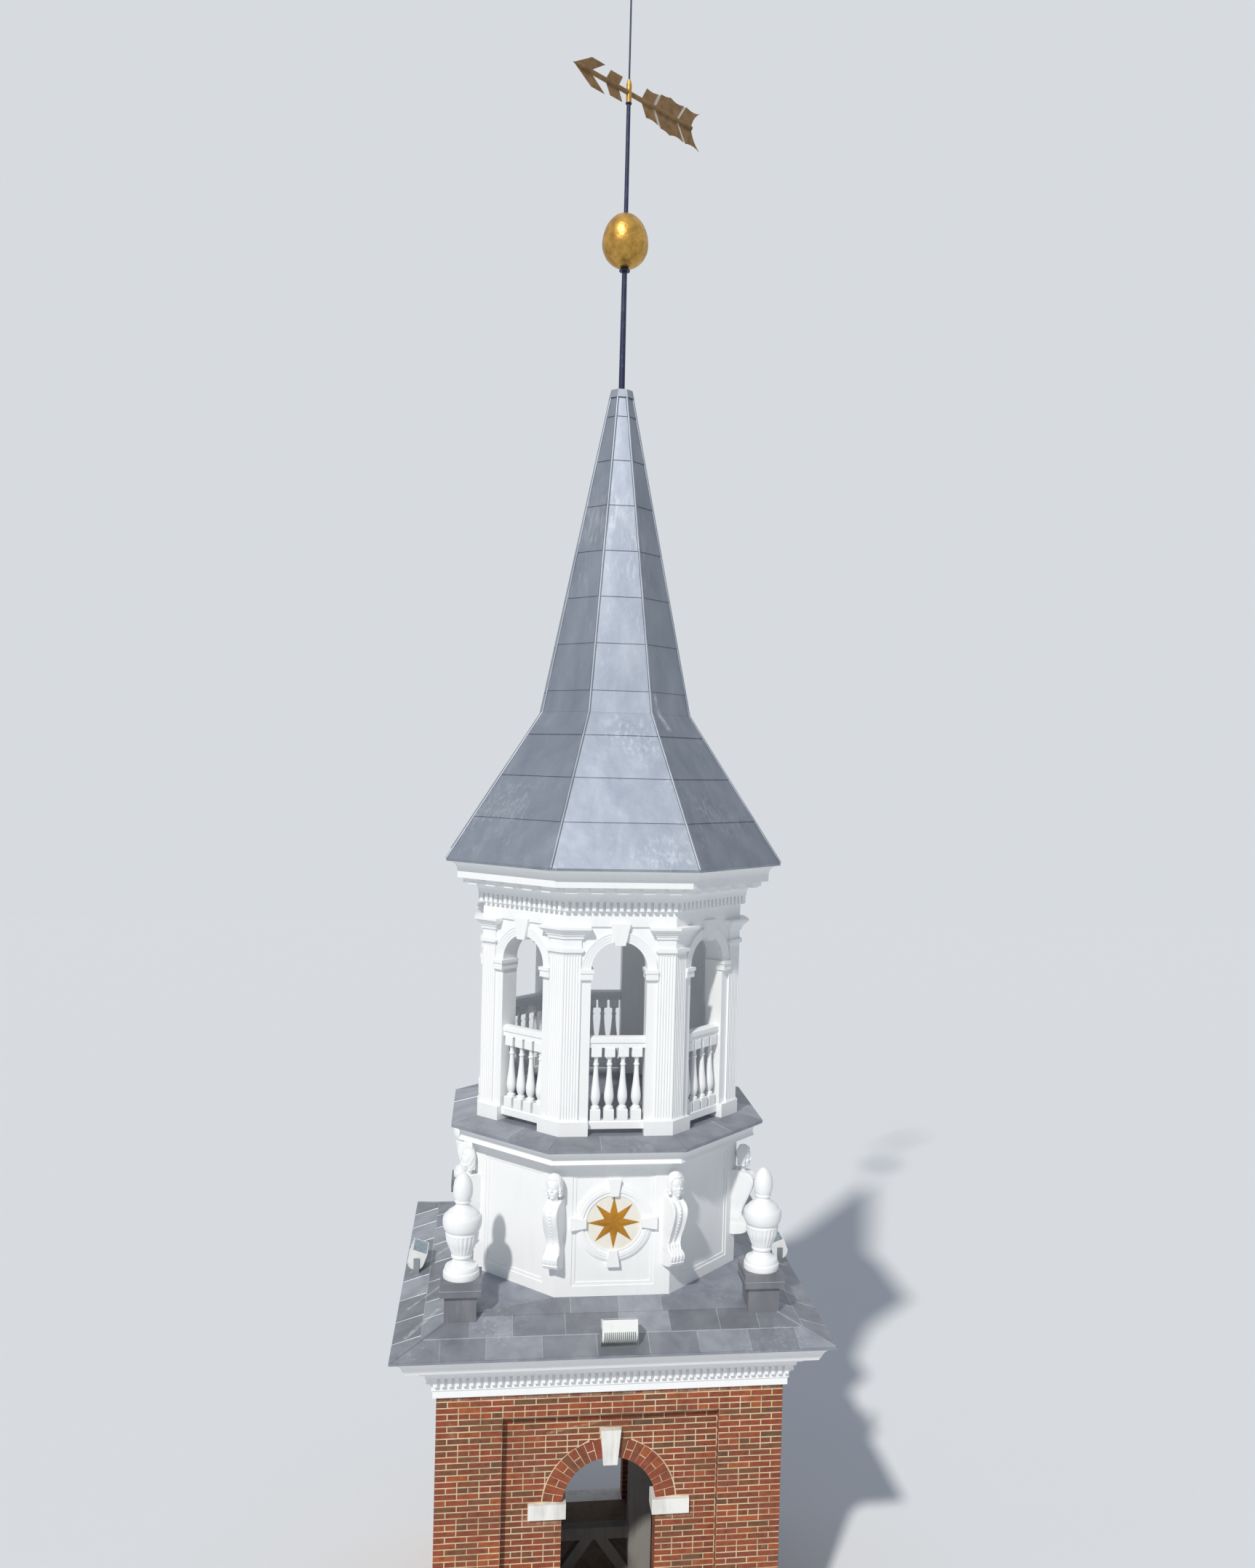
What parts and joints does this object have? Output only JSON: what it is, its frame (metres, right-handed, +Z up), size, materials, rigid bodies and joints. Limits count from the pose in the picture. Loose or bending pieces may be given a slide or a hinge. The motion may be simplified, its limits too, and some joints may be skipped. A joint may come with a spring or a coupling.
{
  "type": "church spire",
  "caption": "Brick belfry stage with arched openings, lead roof with urns, octagonal drum, open arched lantern and lead spire with ball and arrow weathervane",
  "frame": {"origin": "middle of the underside of the brick stage, on the axis of the tower", "axes": "+Z up along the axis of the spire, -Y towards the front, which is the side nearest the camera, +X to the right"},
  "size_m": [4.2604, 4.2604, 18.26],
  "materials": {
    "brick": "matte",
    "stone": "matte",
    "timber": "matte",
    "painted_timber": "satin",
    "lead": "satin",
    "gilding": "satin",
    "iron": "satin",
    "steel": "satin",
    "flood_housing": "satin"
  },
  "bodies": {
    "structure": {"belfry_wall_front": "brick", "belfry_wall_right": "brick", "belfry_wall_back": "brick", "belfry_wall_left": "brick", "belfry_keystones": "stone", "belfry_imposts": "stone", "belfry_sills": "stone", "belfry_floor": "timber", "belfry_frame_posts": "timber", "belfry_frame_tie": "timber", "belfry_frame_braces": "timber", "tower_cornice": "painted_timber", "tower_dentils": "painted_timber", "tower_roof": "lead", "urn_pedestals": "lead", "urns": "painted_timber", "drum_wall": "painted_timber", "drum_medallions": "painted_timber", "drum_stars": "gilding", "corner_herms": "painted_timber", "herm_heads": "painted_timber", "drum_cornice": "painted_timber", "lantern_deck": "lead", "lantern_piers": "painted_timber", "lantern_arches": "painted_timber", "balustrade_rails": "painted_timber", "balusters": "painted_timber", "lantern_frieze": "painted_timber", "lantern_ceiling": "painted_timber", "lantern_dentils": "painted_timber", "lantern_cornice": "painted_timber", "lantern_mutules": "painted_timber", "spire_roof": "lead", "spire_cap": "lead", "spire_pole": "iron", "pole_ball": "gilding", "flood_brackets": "steel"},
    "weathervane": {"vane_shaft": "gilding", "vane_head": "gilding", "vane_fins": "gilding", "vane_tail": "gilding"},
    "floodlight_front": {"flood_head_front": "flood_housing"},
    "floodlight_right": {"flood_head_right": "flood_housing"},
    "floodlight_back": {"flood_head_back": "flood_housing"},
    "floodlight_left": {"flood_head_left": "flood_housing"}
  },
  "joints": [
    {"name": "weathervane_turn", "type": "hinge", "parent": "structure", "child": "weathervane", "pos_m": [0, 0, 16.8205], "axis": [0, 0, 1], "continuous": true},
    {"name": "floodlight_front_tilt", "type": "hinge", "parent": "structure", "child": "floodlight_front", "pos_m": [0.02, -2, 4.07682], "axis": [1, 0, 0], "range_deg": [-25, 25]},
    {"name": "floodlight_right_tilt", "type": "hinge", "parent": "structure", "child": "floodlight_right", "pos_m": [2, 0.02, 4.07682], "axis": [0, 1, 0], "range_deg": [-25, 25]},
    {"name": "floodlight_back_tilt", "type": "hinge", "parent": "structure", "child": "floodlight_back", "pos_m": [-0.02, 2, 4.07682], "axis": [-1, 0, 0], "range_deg": [-25, 25]},
    {"name": "floodlight_left_tilt", "type": "hinge", "parent": "structure", "child": "floodlight_left", "pos_m": [-2, -0.02, 4.07682], "axis": [0, -1, 0], "range_deg": [-25, 25]}
  ]
}
